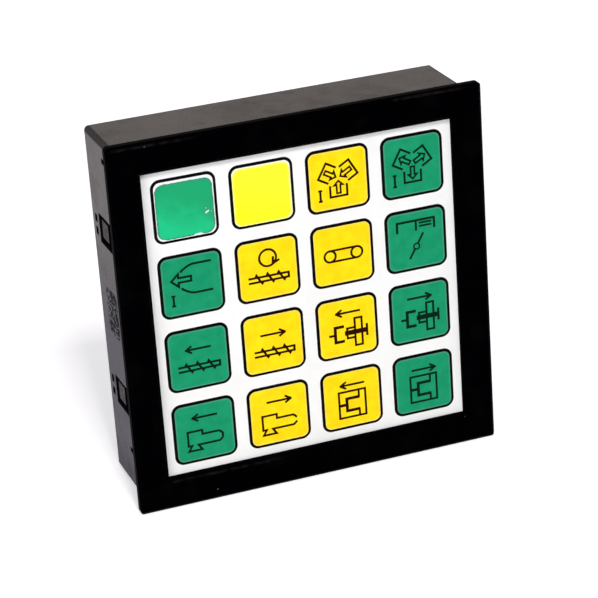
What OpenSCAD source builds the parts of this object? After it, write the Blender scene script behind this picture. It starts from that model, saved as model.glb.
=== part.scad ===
// Panel-mount keypad module: a square front frame with a printed foil over sixteen
// short-travel keys, on a shallow housing that goes through a square panel cut-out.
// +Z is up and the front looks along -Y. The origin is on the plane of the frame's lower
// edge, under the middle of the module's width and depth. Depths called "at" are measured
// backwards from the front face, and heights called "up" from the middle of the front.

/* [Front frame] */
// Width of the front frame
frame_w = 96; // [92:0.5:110]
// Height of the front frame
frame_h = 96; // [92:0.5:110]
// Thickness of the flange that seats on the panel
frame_t = 2.5; // [2.3:0.1:5]
// Corner radius of the flange, seen from the front
frame_corner_r = 1.1; // [0.5:0.1:4]
// Bevel along the front edges of the flange
frame_bevel = 0.8; // [0.3:0.1:1.5]
// Width of the frame's face beside the window
face_side = 8.1; // [7.2:0.1:10]
// Width of the frame's face above and below the window
face_end = 8.2; // [7.2:0.1:10]
// Bevel round the window
window_bevel = 0.9; // [0.3:0.1:1.4]
// Thickness of the frame in front of the foil
lip_t = 1.9; // [1.6:0.1:2.2]
// Depth of the skirt behind the flange
skirt_d = 6; // [4:0.5:8]
// Wall of the skirt and of the snap arms
skirt_t = 1.5; // [1:0.1:2]

/* [Housing] */
// How far the frame stands out of the housing on each side, to seat on the panel
frame_over = 2; // [1.6:0.1:3]
// Depth of the housing behind the flange
housing_d = 23.7; // [21.3:0.1:45]
// Side wall of the housing
wall_t = 2; // [1.6:0.1:2.2]
// Back wall of the housing
back_t = 2.2; // [1.6:0.1:3]
// Radius of the long edges of the housing
long_edge_r = 1.5; // [0.4:0.1:3]
// Radius round the back of the housing
rear_edge_r = 0.4; // [0.3:0.1:1.5]
// Side of the square posts in the corners of the housing
post_s = 5; // [4:0.2:6]
// Clearance between the skirt and the housing
skirt_gap = 0.1; // [0.05:0.05:0.2]
// Depth of the rebate in the flange that takes the housing's rim
rim_seat = 0.3; // [0.1:0.05:0.4]
// Clearance round the housing's rim in its rebate
rim_gap = 0.1; // [0.05:0.05:0.2]

/* [Latches] */
// Distance of the latch centres from the top and the bottom of the housing
latch_from_end = 24.4; // [16:0.1:30]
// Width of a snap arm and of its lug
lug_w = 4.6; // [3:0.1:5.6]
// Length of the lug's catch in front of the raised pad
catch_l = 2.5; // [1.5:0.1:4]
// How far the catch stands out of the arm
catch_out = 0.9; // [0.6:0.1:1.4]
// Length of the raised pad
pad_l = 5.7; // [3:0.1:6]
// How deep the pad lies below the outside of the housing
pad_sunk = 0.35; // [0.1:0.05:0.6]
// Length of the ramp behind the pad
ramp_l = 0.9; // [0.5:0.1:1]
// Height of a latch window
latch_window_h = 7.7; // [7:0.1:9]
// Free length in the latch window in front of the catch
catch_gap = 0.3; // [0.1:0.1:0.5]
// Length of the latch window behind the pad
behind_pad = 1.4; // [1.2:0.1:2]
// Side of the square clamp holes
clamp_hole_s = 2.1; // [1.2:0.1:2.4]
// Distance between the two clamp holes of a pair
clamp_pitch = 3.4; // [2.6:0.1:5]
// Distance from the latch window to the middle of the clamp holes
clamp_behind = 2.5; // [2:0.1:3.4]
// Distance between the clamp holes and the inside of the back wall
clamp_from_back = 0.15; // [0.1:0.05:1]
// Width of the alignment grooves in the front rim
groove_w = 1.4; // [0.8:0.1:2]
// Depth of the alignment grooves in the wall
groove_in = 1; // [0.5:0.1:1.2]
// Depth at which the grooves end
groove_end = 12.3; // [8:0.1:15]
// Distance of the upper groove from the top of the housing
groove_from_top = 4.8; // [4.6:0.1:9]
// Distance of the lower groove from the bottom of the housing
groove_from_bottom = 10.9; // [7.6:0.1:14]

/* [Keys] */
// Margin left beside the key grid in the window
side_margin = 0.7; // [0:0.1:1.4]
// Margin left above and below the key grid in the window
end_margin = 0.6; // [0:0.1:1.4]
// Side of a printed key field
key_s = 16.4; // [14:0.1:17]
// Corner radius of a key field
key_r = 2.4; // [1:0.1:4]
// Thickness of the printed foil
foil_t = 0.25; // [0.15:0.05:0.4]
// Height of the embossed key fields
emboss_h = 0.2; // [0.1:0.05:0.3]
// Thickness of the adhesive sheet
adhesive_t = 0.15; // [0.1:0.05:0.3]
// Side of the cut-outs in the adhesive sheet
adhesive_hole_s = 14; // [12:0.2:16]
// Thickness of a stick-on label
label_t = 0.12; // [0.05:0.01:0.2]
// Width of the green label
green_w = 14.4; // [12:0.1:15]
// Height of the green label
green_h = 14.1; // [12:0.1:15]
// Side of the yellow label
yellow_s = 14.9; // [12:0.1:15.4]
// Corner radius of the labels
label_r = 2; // [0.5:0.1:3]
// How far the green label sits below the middle of its key
green_drop = 0.2; // [0:0.1:0.5]

/* [Plungers and switches] */
// Travel of a key
key_travel = 0.5; // [0.2:0.1:0.8]
// Diameter of a plunger head
head_d = 10; // [8:0.2:11]
// Radial clearance of a plunger head in the key plate
head_clear = 0.06; // [0.03:0.01:0.1]
// Gap between the plunger head and the foil
head_gap = 0.05; // [0.02:0.01:0.1]
// Diameter of the collar that holds the plunger behind the plate
collar_d = 11.2; // [10.8:0.2:11.8]
// Thickness of the collar
collar_t = 0.8; // [0.5:0.1:1.2]
// Gap between the collar and the key plate
collar_gap = 0.04; // [0.02:0.01:0.1]
// Diameter of the plunger stem
stem_d = 4; // [3:0.2:5]
// Radial clearance of the stem in the switch
stem_clear = 0.06; // [0.03:0.01:0.1]
// Length of the stem inside the switch
stem_in = 2.6; // [1.5:0.1:3]
// Room kept past the end of travel
travel_spare = 0.2; // [0.1:0.05:0.4]
// Side of a switch body
switch_s = 12; // [10:0.2:13]
// Height of a switch body
switch_h = 4.6; // [4:0.1:6]
// Bevel on the front edges of a switch body
switch_bevel = 0.6; // [0.2:0.1:1]
// Diameter of a switch lead
lead_d = 0.8; // [0.5:0.1:1]
// Distance between the two leads of a switch
lead_pitch = 7.6; // [5:0.1:9]
// Length of a lead behind the board
lead_out = 1.2; // [0.8:0.1:2]
// Radial clearance of leads and pins in the board
lead_clear = 0.05; // [0.03:0.01:0.1]

/* [Board and plate] */
// Thickness of the key plate
plate_t = 2; // [1.5:0.1:3]
// Clearance of foil and plate inside the skirt, on each side
plate_gap = 0.2; // [0.1:0.05:0.4]
// Thickness of the circuit board
board_t = 1.6; // [1:0.1:2]
// Gap of the board and the skirt walls beside the corner posts
board_gap = 0.6; // [0.3:0.1:1.5]
// Outer diameter of a standoff
standoff_d = 5.4; // [5:0.1:6]
// Diameter of the standoff's thread
thread_d = 3; // [2.5:0.5:3]
// Radial clearance of a screw in its standoff
thread_gap = 0.01; // [0.01:0.01:0.05]
// Floor left between a standoff's thread and the key plate
standoff_floor = 1; // [0.6:0.1:1.2]
// Length of a screw below its head
screw_l = 5; // [4:0.5:6]
// Diameter of a screw head
screw_head_d = 5.6; // [5:0.1:6]
// Height of a screw head
screw_head_h = 2.2; // [1.5:0.1:3]
// Radial clearance of the screws in the board
screw_clear = 0.1; // [0.05:0.05:0.3]
// Width across the flats of the hexagon in a screw head
socket_s = 2; // [1.5:0.1:2.5]

/* [Plug] */
// Pins in one row of the header
header_columns = 5; // [3:1:8]
// Distance from pin to pin
pin_pitch = 2.54; // [2:0.01:2.54]
// Side of a square pin
pin_s = 0.64; // [0.5:0.01:0.7]
// Height of a pin above the floor of the shroud
pin_up = 6; // [5:0.1:7]
// Height of the shroud
shroud_h = 9; // [8:0.1:10]
// Depth of the recess in the shroud
shroud_recess = 6.6; // [6:0.1:7.4]
// Outer width of the shroud across the rows
shroud_w = 9; // [8.6:0.1:10]
// Wall of the shroud across the rows
shroud_wall = 1.25; // [1:0.05:1.5]
// Wall of the shroud past the last pin
shroud_end = 5; // [4:0.1:6]
// Wall of the shroud at its two ends
shroud_end_wall = 1.4; // [1:0.1:2]
// Width of the polarising notch
notch_w = 4.4; // [3:0.1:5]
// Distance of the plug below the middle, in key pitches
header_pitches = 1; // [0:1:1]
// Room between the shroud and the edge of the rear cut-out
cutout_gap = 1.5; // [0.8:0.1:3]
// Corner radius of the rear cut-out
cutout_r = 1; // [0.5:0.1:2]
// Diameter of a diode
diode_d = 1.8; // [1.4:0.1:2]
// Length of a diode
diode_l = 4; // [3:0.1:5]
// Gap between a diode and its board
diode_gap = 0.02; // [0.01:0.01:0.05]

/* [Hidden] */
rows = 4;
columns = 4;
overlap = 0.01;
through = 1;
fine = 48;
coarse = 24;
middle_z = frame_h / 2;
housing_w = frame_w - 2 * frame_over;
housing_h = frame_h - 2 * frame_over;
window_w = frame_w - 2 * face_side;
window_h = frame_h - 2 * face_end;
pitch_x = (window_w - 2 * side_margin) / columns;
pitch_z = (window_h - 2 * end_margin) / rows;
latch_up = housing_h / 2 - latch_from_end;
groove_up = housing_h / 2 - groove_from_top;
groove_down = housing_h / 2 - groove_from_bottom;
front_y = -(frame_t + housing_d) / 2;
flange_at = frame_t;
rim_at = flange_at - rim_seat;
back_at = frame_t + housing_d;
back_in_at = back_at - back_t;
foil_at = lip_t;
adhesive_at = foil_at + foil_t;
plate_at = adhesive_at + adhesive_t;
plate_rear_at = plate_at + plate_t;
head_at = adhesive_at + head_gap;
collar_at = plate_rear_at + collar_gap;
collar_rear_at = collar_at + collar_t;
switch_at = collar_rear_at + key_travel + travel_spare;
board_at = switch_at + switch_h;
board_rear_at = board_at + board_t;
stem_end_at = switch_at + stem_in;
socket_end_at = stem_end_at + key_travel + travel_spare;
inner_w = housing_w - 2 * wall_t;
inner_h = housing_h - 2 * wall_t;
skirt_w = inner_w - 2 * skirt_gap;
skirt_h = inner_h - 2 * skirt_gap;
pocket_w = skirt_w - 2 * skirt_t;
pocket_h = skirt_h - 2 * skirt_t;
plate_w = pocket_w - 2 * plate_gap;
plate_h = pocket_h - 2 * plate_gap;
between_posts_w = inner_w - 2 * (post_s + board_gap);
between_posts_h = inner_h - 2 * (post_s + board_gap);
clamp_at = back_in_at - clamp_from_back - clamp_hole_s / 2;
latch_window_end = clamp_at - clamp_behind;
pad_end_at = latch_window_end - behind_pad;
pad_at = pad_end_at - pad_l;
catch_at = pad_at - catch_l;
latch_window_at = catch_at - catch_gap;
header_l = (header_columns - 1) * pin_pitch + 2 * shroud_end;
header_down = header_pitches * pitch_z;
shroud_floor = shroud_h - shroud_recess;

// Middle of a key, seen from the front, with row 0 at the top
function key_x(c) = (c - (columns - 1) / 2) * pitch_x;
function key_up(r) = ((rows - 1) / 2 - r) * pitch_z;

// A flat outline drawn as seen from the front, made into a slab of thickness t
module slab(at, t) {
    translate([0, front_y + at + t, middle_z])
        rotate([90, 0, 0])
            linear_extrude(t) children();
}

// A profile of depth and height, drawn across the whole width w
module across(w) {
    translate([0, front_y, middle_z])
        rotate([90, 0, 90])
            linear_extrude(w, center = true) children();
}

// A profile of width and depth, drawn over the whole height h
module upright(h) {
    translate([0, front_y, middle_z])
        linear_extrude(h, center = true) children();
}

// A rod along the depth
module rod(x, up, at, l, d, facets = fine) {
    translate([x, front_y + at, middle_z + up])
        rotate([-90, 0, 0])
            cylinder(h = l, d = d, $fn = facets);
}

// Rectangle with round corners
module round_rectangle(w, h, r) {
    square([w - 2 * r, h], center = true);
    square([w, h - 2 * r], center = true);
    for (sx = [-1, 1]) {
        for (sy = [-1, 1]) {
            translate([sx * (w / 2 - r), sy * (h / 2 - r)]) circle(r, $fn = fine);
        }
    }
}

// Profile of a flange of half size s, bevelled at the front, with depth along x
module flange_profile(s) {
    polygon([
        [0, -s + frame_bevel],
        [frame_bevel, -s],
        [frame_t, -s],
        [frame_t, s],
        [frame_bevel, s],
        [0, s - frame_bevel]
    ]);
}

// Profile of the cut that makes a window of half size s, with its bevel at the front
module window_profile(s) {
    polygon([
        [-through, -s - window_bevel - through],
        [window_bevel, -s],
        [flange_at + through, -s],
        [flange_at + through, s],
        [window_bevel, s],
        [-through, s + window_bevel + through]
    ]);
}

// Profile of the housing of half size s, round at the back, with depth along x
module housing_profile(s) {
    r = rear_edge_r;
    translate([rim_at, -s]) square([back_at - r - rim_at, 2 * s]);
    translate([rim_at, r - s]) square([back_at - rim_at, 2 * (s - r)]);
    for (side = [-1, 1]) {
        translate([back_at - r, side * (s - r)]) circle(r, $fn = fine);
    }
}

module flange() {
    difference() {
        intersection() {
            slab(0, frame_t) round_rectangle(frame_w, frame_h, frame_corner_r);
            across(frame_w + through) flange_profile(frame_h / 2);
            upright(frame_h + through) rotate(90) mirror([0, 1]) flange_profile(frame_w / 2);
        }
        intersection() {
            across(window_w + 4 * window_bevel) window_profile(window_h / 2);
            upright(window_h + 4 * window_bevel)
                rotate(90) mirror([0, 1]) window_profile(window_w / 2);
        }
        slab(lip_t, frame_t) square([pocket_w, pocket_h], center = true);
        slab(rim_at, frame_t) housing_outline(rim_gap);
    }
}

// The housing as seen from the front, with its round long edges, grown by gap
module housing_outline(gap = 0) {
    round_rectangle(housing_w + 2 * gap, housing_h + 2 * gap, long_edge_r + gap);
}

// Four skirt walls, open at the corners for the housing's posts
module skirt() {
    slab(rim_at - overlap, skirt_d + rim_seat + overlap) {
        for (side = [-1, 1]) {
            translate([side * (skirt_w - skirt_t) / 2, 0])
                square([skirt_t, between_posts_h], center = true);
            translate([0, side * (skirt_h - skirt_t) / 2])
                square([between_posts_w, skirt_t], center = true);
        }
    }
}

// One snap arm on the right: a thin leaf with a low catch, a raised pad and a ramp
module snap_arm(up) {
    leaf_out = skirt_w / 2;
    leaf_in = leaf_out - skirt_t;
    pad_out = housing_w / 2 - pad_sunk;
    arm_end = pad_end_at + ramp_l;
    translate([0, front_y, middle_z + up])
        linear_extrude(lug_w, center = true)
            polygon([
                [leaf_in, rim_at],
                [leaf_out, rim_at],
                [leaf_out, catch_at],
                [leaf_out + catch_out, catch_at],
                [leaf_out + catch_out, pad_at],
                [pad_out, pad_at],
                [pad_out, pad_end_at],
                [leaf_out, arm_end],
                [leaf_in, arm_end]
            ]);
}

module bezel_frame() {
    color("#0a0a0b") {
        flange();
        skirt();
        for (side = [0, 1]) {
            for (up = [-latch_up, latch_up]) {
                mirror([side, 0, 0]) snap_arm(up);
            }
        }
    }
}

// Everything that is cut into one side wall, drawn on the right
module side_cuts() {
    wall_mid = (housing_w - wall_t) / 2;
    cut_w = wall_t + through;
    for (up = [-latch_up, latch_up]) {
        window_l = latch_window_end - latch_window_at;
        translate([wall_mid, front_y + latch_window_at + window_l / 2, middle_z + up])
            cube([cut_w, window_l, latch_window_h], center = true);
        for (step = [-0.5, 0.5]) {
            translate([wall_mid, front_y + clamp_at, middle_z + up + step * clamp_pitch])
                cube([cut_w, clamp_hole_s, clamp_hole_s], center = true);
        }
    }
    for (up = [-groove_down, groove_up]) {
        translate([housing_w / 2, front_y + groove_end / 2, middle_z + up])
            cube([2 * groove_in, groove_end, groove_w], center = true);
    }
}

module rear_cutout() {
    w = header_l + 2 * cutout_gap;
    h = shroud_w + 2 * cutout_gap;
    slab(back_in_at - through, back_t + 2 * through)
        translate([0, -header_down]) round_rectangle(w, h, cutout_r);
}

module housing_shell() {
    post_x = (inner_w - post_s) / 2;
    post_z = (inner_h - post_s) / 2;
    color("#4a4846") difference() {
        union() {
            difference() {
                intersection() {
                    slab(rim_at, back_at - rim_at) housing_outline();
                    across(housing_w + through) housing_profile(housing_h / 2);
                    upright(housing_h + through)
                        rotate(90) mirror([0, 1]) housing_profile(housing_w / 2);
                }
                slab(rim_at - through, back_in_at + through - rim_at)
                    square([inner_w, inner_h], center = true);
            }
            slab(plate_rear_at, back_in_at - plate_rear_at + overlap) {
                for (sx = [-1, 1]) {
                    for (sy = [-1, 1]) {
                        translate([sx * post_x, sy * post_z])
                            square(post_s + 2 * overlap, center = true);
                    }
                }
            }
        }
        side_cuts();
        mirror([1, 0, 0]) side_cuts();
        rear_cutout();
    }
}

module overlay_foil() {
    hollow_s = key_s - 2 * foil_t;
    color("#f4f4f2") difference() {
        union() {
            slab(foil_at, foil_t) square([plate_w, plate_h], center = true);
            slab(foil_at - emboss_h, emboss_h + overlap) key_fields(key_s, key_r);
        }
        slab(foil_at + foil_t - emboss_h, emboss_h + through)
            key_fields(hollow_s, key_r - foil_t);
    }
}

// One field of side s at each key
module key_fields(s, r) {
    for (row = [0 : rows - 1]) {
        for (c = [0 : columns - 1]) {
            translate([key_x(c), key_up(row)]) round_rectangle(s, s, r);
        }
    }
}

module label_green() {
    color("#1fb878") slab(foil_at - emboss_h - label_t, label_t)
        translate([key_x(0), key_up(0) - green_drop]) round_rectangle(green_w, green_h, label_r);
}

module label_yellow() {
    color("#ffff28") slab(foil_at - emboss_h - label_t, label_t)
        translate([key_x(1), key_up(0)]) round_rectangle(yellow_s, yellow_s, label_r);
}

module adhesive_sheet() {
    color("#d9d4c4") slab(adhesive_at, adhesive_t) difference() {
        square([plate_w, plate_h], center = true);
        key_fields(adhesive_hole_s, key_r);
    }
}

module key_plate() {
    bore_d = head_d + 2 * head_clear;
    color("#b9bcc0") difference() {
        slab(plate_at, plate_t) square([plate_w, plate_h], center = true);
        for (r = [0 : rows - 1]) {
            for (c = [0 : columns - 1]) {
                rod(key_x(c), key_up(r), plate_at - through, plate_t + 2 * through, bore_d);
            }
        }
    }
}

module key_plunger(r, c) {
    x = key_x(c);
    up = key_up(r);
    color("#e6e2d8") {
        rod(x, up, head_at, collar_at + overlap - head_at, head_d);
        rod(x, up, collar_at, collar_t, collar_d);
        rod(x, up, collar_rear_at - overlap, stem_end_at + overlap - collar_rear_at, stem_d);
    }
}

module key_switch(r, c) {
    x = key_x(c);
    up = key_up(r);
    bore_d = stem_d + 2 * stem_clear;
    color("#26282a") difference() {
        translate([x, front_y + switch_at + switch_h, middle_z + up])
            rotate([90, 0, 0])
                switch_block();
        rod(x, up, switch_at - through, socket_end_at + through - switch_at, bore_d);
    }
    color("#c9c4b6") {
        for (side = [-0.5, 0.5]) {
            lead_x = x + side * lead_pitch;
            rod(lead_x, up, board_at - overlap, board_t + lead_out + overlap, lead_d, coarse);
        }
    }
}

// Switch body with bevels on the four front edges
module switch_block() {
    s = switch_s / 2;
    b = switch_bevel;
    outline = [
        [-s, 0],
        [s, 0],
        [s, switch_h - b],
        [s - b, switch_h],
        [b - s, switch_h],
        [-s, switch_h - b]
    ];
    intersection() {
        rotate([90, 0, 0]) linear_extrude(switch_s, center = true) polygon(outline);
        rotate([90, 0, 90]) linear_extrude(switch_s, center = true) polygon(outline);
    }
}

module circuit_board() {
    lead_hole = lead_d + 2 * lead_clear;
    pin_hole = pin_s * sqrt(2) + 2 * lead_clear;
    screw_hole = thread_d + 2 * screw_clear;
    cut_at = board_at - through;
    cut_l = board_t + 2 * through;
    color("#2f6b3a") difference() {
        slab(board_at, board_t) square([between_posts_w, between_posts_h], center = true);
        for (r = [0 : rows - 1]) {
            for (c = [0 : columns - 1]) {
                for (side = [-0.5, 0.5]) {
                    lead_x = key_x(c) + side * lead_pitch;
                    rod(lead_x, key_up(r), cut_at, cut_l, lead_hole, coarse);
                }
            }
        }
        for (p = pin_places()) {
            rod(p[0], p[1], cut_at, cut_l, pin_hole, coarse);
        }
        for (p = standoff_places()) {
            rod(p[0], p[1], cut_at, cut_l, screw_hole);
        }
    }
}

function standoff_places() =
    [for (sx = [-1, 1]) for (sz = [-1, 1]) [sx * pitch_x, sz * pitch_z]];

function pin_places() = [
    for (i = [0 : header_columns - 1])
        for (side = [-0.5, 0.5])
            [(i - (header_columns - 1) / 2) * pin_pitch, side * pin_pitch - header_down]
];

module board_standoffs() {
    color("#c6a95a") for (p = standoff_places()) {
        difference() {
            rod(p[0], p[1], plate_rear_at, board_at - plate_rear_at, standoff_d);
            rod(p[0], p[1], plate_rear_at + standoff_floor, board_at - plate_rear_at, thread_d);
        }
    }
}

module board_screws() {
    shank_d = thread_d - 2 * thread_gap;
    color("#a8acb0") for (p = standoff_places()) {
        difference() {
            union() {
                rod(p[0], p[1], board_rear_at - screw_l, screw_l + overlap, shank_d);
                rod(p[0], p[1], board_rear_at, screw_head_h, screw_head_d);
            }
            translate([p[0], front_y + board_rear_at + screw_head_h / 2, middle_z + p[1]])
                rotate([-90, 0, 0])
                    cylinder(h = screw_head_h, d = socket_s / cos(30), $fn = 6);
        }
    }
}

module header_shroud() {
    inside_l = header_l - 2 * shroud_end_wall;
    inside_w = shroud_w - 2 * shroud_wall;
    hole_s = pin_s + 2 * lead_clear;
    color("#1d1e20") difference() {
        slab(board_rear_at, shroud_h)
            translate([0, -header_down]) square([header_l, shroud_w], center = true);
        slab(board_rear_at + shroud_floor, shroud_h)
            translate([0, -header_down]) square([inside_l, inside_w], center = true);
        slab(board_rear_at + shroud_floor, shroud_h)
            translate([0, -header_down + shroud_w / 2]) square([notch_w, shroud_w], center = true);
        slab(board_rear_at - through, shroud_h) {
            for (p = pin_places()) {
                translate(p) square(hole_s, center = true);
            }
        }
    }
}

module header_pins() {
    pin_start = board_at - lead_out;
    pin_end = board_rear_at + shroud_floor + pin_up;
    color("#d8b75c") slab(pin_start, pin_end - pin_start) {
        for (p = pin_places()) {
            translate(p) square(pin_s, center = true);
        }
    }
}

// A small diode for each key, between its switch's leads, standing upright on the board's back
module matrix_diodes() {
    color("#a3452e") {
        for (r = [0 : rows - 1]) {
            for (c = [0 : columns - 1]) {
                translate([
                    key_x(c),
                    front_y + board_rear_at + diode_gap + diode_d / 2,
                    middle_z + key_up(r)
                ])
                    cylinder(h = diode_l, d = diode_d, center = true, $fn = coarse);
            }
        }
    }
}

bezel_frame();
housing_shell();
overlay_foil();
label_green();
label_yellow();
adhesive_sheet();
key_plate();
circuit_board();
board_standoffs();
board_screws();
header_shroud();
header_pins();
matrix_diodes();
for (r = [0 : rows - 1]) {
    for (c = [0 : columns - 1]) {
        key_plunger(r, c);
        key_switch(r, c);
    }
}
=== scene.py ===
import math

import bpy
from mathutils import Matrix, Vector, noise
from mathutils.geometry import delaunay_2d_cdt


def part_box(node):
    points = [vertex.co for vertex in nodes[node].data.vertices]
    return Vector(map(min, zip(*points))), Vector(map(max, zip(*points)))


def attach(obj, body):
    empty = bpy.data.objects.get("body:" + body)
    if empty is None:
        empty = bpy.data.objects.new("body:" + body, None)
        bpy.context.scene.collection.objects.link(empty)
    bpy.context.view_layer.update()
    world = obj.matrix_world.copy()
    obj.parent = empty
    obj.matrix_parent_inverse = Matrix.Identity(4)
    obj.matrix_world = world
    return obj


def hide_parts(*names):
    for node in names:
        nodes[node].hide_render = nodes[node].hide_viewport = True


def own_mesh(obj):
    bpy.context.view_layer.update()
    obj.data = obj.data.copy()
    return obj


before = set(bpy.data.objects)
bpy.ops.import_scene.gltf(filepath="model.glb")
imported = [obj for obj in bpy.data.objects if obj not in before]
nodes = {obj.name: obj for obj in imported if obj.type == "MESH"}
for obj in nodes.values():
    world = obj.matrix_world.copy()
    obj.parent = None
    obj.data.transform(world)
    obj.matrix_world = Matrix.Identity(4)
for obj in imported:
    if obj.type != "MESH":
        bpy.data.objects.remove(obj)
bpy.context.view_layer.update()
mm = 0.001  # all sizes below are in millimetres
print("the packed model is loaded:", len(nodes), "nodes")

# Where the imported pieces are
frameLow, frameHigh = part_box("bezel_frame")
foilLow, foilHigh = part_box("overlay_foil")
frontY = frameLow.y / mm
middleZ = (frameLow.z + frameHigh.z) / 2 / mm
foilHalf = foilHigh.x / mm
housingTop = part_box("housing_shell")[1].z / mm
keyCentres = {}
for name in sorted(nodes):
    if name.startswith("key_plunger_"):
        low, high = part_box(name)
        keyCentres[name[-2:]] = Vector(((low.x + high.x) / 2, (low.z + high.z) / 2)) / mm


# Camera, lamps and floor

photoCamera = {
    "at": (-182.33, -539.65, 278.86),
    "aim": (-2.98, -13.1, 49.05),  # where its axis meets the front
    "roll": -4.12,
    "lens": 147.65,
    "sensor": 36,
    "sees": (0.05, 20),  # nearest and farthest distance, in metres
}

studio = {
    "skyLight": 0.28,  # what the white surroundings give to the object
    "keyPower": 14.6,
    "keyAt": (-82, -1046, 1255),
    "keySide": 280,
    "fillPower": 8.1,
    "fillAt": (-1053, -737, 150),
    "fillSide": 600,
    "floorColour": (0.87, 0.84, 0.89, 1),
    "floorSide": 2400,
    "edgeDepth": 2.5,  # of the frame's lower rear edge, which stands on the floor
    "floorTilt": 4.9,  # the module leans back on its frame and the housing's rear edge
    "floorLift": 0.5,  # white added to the floor where the lens sees it
}


def lookFrom(item, place, target, roll=0.0):
    item.location = Vector(place) * mm
    way = (Vector(target) - Vector(place)).to_track_quat("-Z", "Y")
    item.rotation_euler = way.to_euler()
    item.rotation_euler.rotate_axis("Z", math.radians(roll))


def setCamera():
    cameraData = bpy.data.cameras.new("photoCamera")
    cameraData.lens = photoCamera["lens"]
    cameraData.sensor_width = photoCamera["sensor"]
    cameraData.clip_start, cameraData.clip_end = photoCamera["sees"]
    camera = bpy.data.objects.new("photoCamera", cameraData)
    bpy.context.scene.collection.objects.link(camera)
    lookFrom(camera, photoCamera["at"], photoCamera["aim"], photoCamera["roll"])
    bpy.context.scene.camera = camera


def softLamp(name, place, side, power):
    lampData = bpy.data.lights.new(name, "AREA")
    lampData.shape = "SQUARE"
    lampData.size = side * mm
    lampData.energy = power
    lamp = bpy.data.objects.new(name, lampData)
    bpy.context.scene.collection.objects.link(lamp)
    lookFrom(lamp, place, (0, 0, middleZ))


def addNode(tree, kind, values=None, **settings):
    node = tree.nodes.new(kind)
    for name, value in settings.items():
        setattr(node, name, value)
    for socket, value in (values or {}).items():
        if isinstance(value, bpy.types.NodeSocket):
            tree.links.new(value, node.inputs[socket])
        else:
            node.inputs[socket].default_value = value
    return node


def seenRays(tree):
    # at least 1 for what the lens sees, straight or mirrored, and 0 for what lights the object
    paths = addNode(tree, "ShaderNodeLightPath").outputs
    seen = paths["Is Camera Ray"]
    for kind in ("Is Glossy Ray", "Is Transmission Ray"):
        seen = addNode(tree, "ShaderNodeMath", {0: seen, 1: paths[kind]}, operation="ADD").outputs[0]
    return seen


def whiteSurroundings():
    world = bpy.data.worlds.new("whiteSurroundings")
    bpy.context.scene.world = world
    world.use_nodes = True
    tree = world.node_tree
    back = tree.nodes["Background"]
    back.inputs["Color"].default_value = (1, 1, 1, 1)
    strength = addNode(tree, "ShaderNodeMapRange", {"Value": seenRays(tree), "To Min": studio["skyLight"]})
    tree.links.new(strength.outputs[0], back.inputs["Strength"])


def paleFloor():
    half = studio["floorSide"] / 2
    tilt = math.radians(studio["floorTilt"])
    edgeY = frontY + studio["edgeDepth"]
    corners = []
    for u, v in ((-half, -half), (half, -half), (half, half), (-half, half)):
        corners.append(Vector((u, edgeY + v * math.cos(tilt), v * math.sin(tilt))) * mm)
    mesh = bpy.data.meshes.new("floor")
    mesh.from_pydata(corners, [], [(0, 1, 2, 3)])
    floor = bpy.data.objects.new("floor", mesh)
    bpy.context.scene.collection.objects.link(floor)
    made = bpy.data.materials.new("paleFloor")
    made.use_nodes = True
    tree = made.node_tree
    tree.nodes.clear()
    matt = addNode(tree, "ShaderNodeBsdfDiffuse", {"Color": studio["floorColour"]})
    lift = addNode(tree, "ShaderNodeMapRange", {"Value": seenRays(tree), "To Max": studio["floorLift"]})
    glow = addNode(tree, "ShaderNodeEmission", {"Color": (1, 1, 1, 1), "Strength": lift.outputs[0]})
    both = addNode(tree, "ShaderNodeAddShader", {0: matt.outputs[0], 1: glow.outputs[0]})
    addNode(tree, "ShaderNodeOutputMaterial", {"Surface": both.outputs[0]})
    mesh.materials.append(made)


bpy.context.scene.view_settings.view_transform = "Standard"
setCamera()
softLamp("keyLamp", studio["keyAt"], studio["keySide"], studio["keyPower"])
softLamp("fillLamp", studio["fillAt"], studio["fillSide"], studio["fillPower"])
whiteSurroundings()
paleFloor()
print("camera, lamps and floor are set")


# Material helpers. Colours are written as they look, from 0 to 255, and lengths in millimetres.
# Clouds are written as size, detail and, where it isn't the usual one, contrast, and grains as size,
# detail and depth. Depths are measured from the front of the frame, and heights from its middle.

def tint(red, green, blue):
    # undoes the curve of the screen
    parts = []
    for value in (red, green, blue):
        share = value / 255
        parts.append(share / 12.92 if share <= 0.04045 else ((share + 0.055) / 1.055) ** 2.4)
    return (*parts, 1.0)


def startMaterial(name, roughness, gloss, metal=0.0):
    made = bpy.data.materials.new(name)
    made.use_nodes = True
    tree = made.node_tree
    shader = tree.nodes["Principled BSDF"]
    shader.inputs["Roughness"].default_value = roughness
    shader.inputs["Specular IOR Level"].default_value = gloss
    shader.inputs["Metallic"].default_value = metal
    return made, tree, shader


def placeInMillimetres(tree, move=(0, 0, 0), stretch=(1, 1, 1)):
    spot = addNode(tree, "ShaderNodeTexCoord").outputs["Object"]
    scaled = addNode(tree, "ShaderNodeMapping", {"Vector": spot, "Scale": [s / mm for s in stretch]})
    if any(move):
        scaled = addNode(tree, "ShaderNodeVectorMath", {0: scaled.outputs[0], 1: move}, operation="SUBTRACT")
    return scaled.outputs[0]


def cloudy(tree, place, size, detail, contrast=(0.3, 0.7)):
    # smooth blotches of about that size, from 0 to 1
    pattern = addNode(tree, "ShaderNodeTexNoise", {"Vector": place, "Scale": 1 / size, "Detail": detail})
    return between(tree, pattern.outputs["Fac"], *contrast)


def between(tree, value, low, high, start=0.0, end=1.0):
    made = addNode(tree, "ShaderNodeMapRange",
                   {"Value": value, "From Min": low, "From Max": high, "To Min": start, "To Max": end},
                   interpolation_type="SMOOTHSTEP")
    return made.outputs[0]


def maths(tree, kind, first, second):
    return addNode(tree, "ShaderNodeMath", {0: first, 1: second}, operation=kind).outputs[0]


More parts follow.
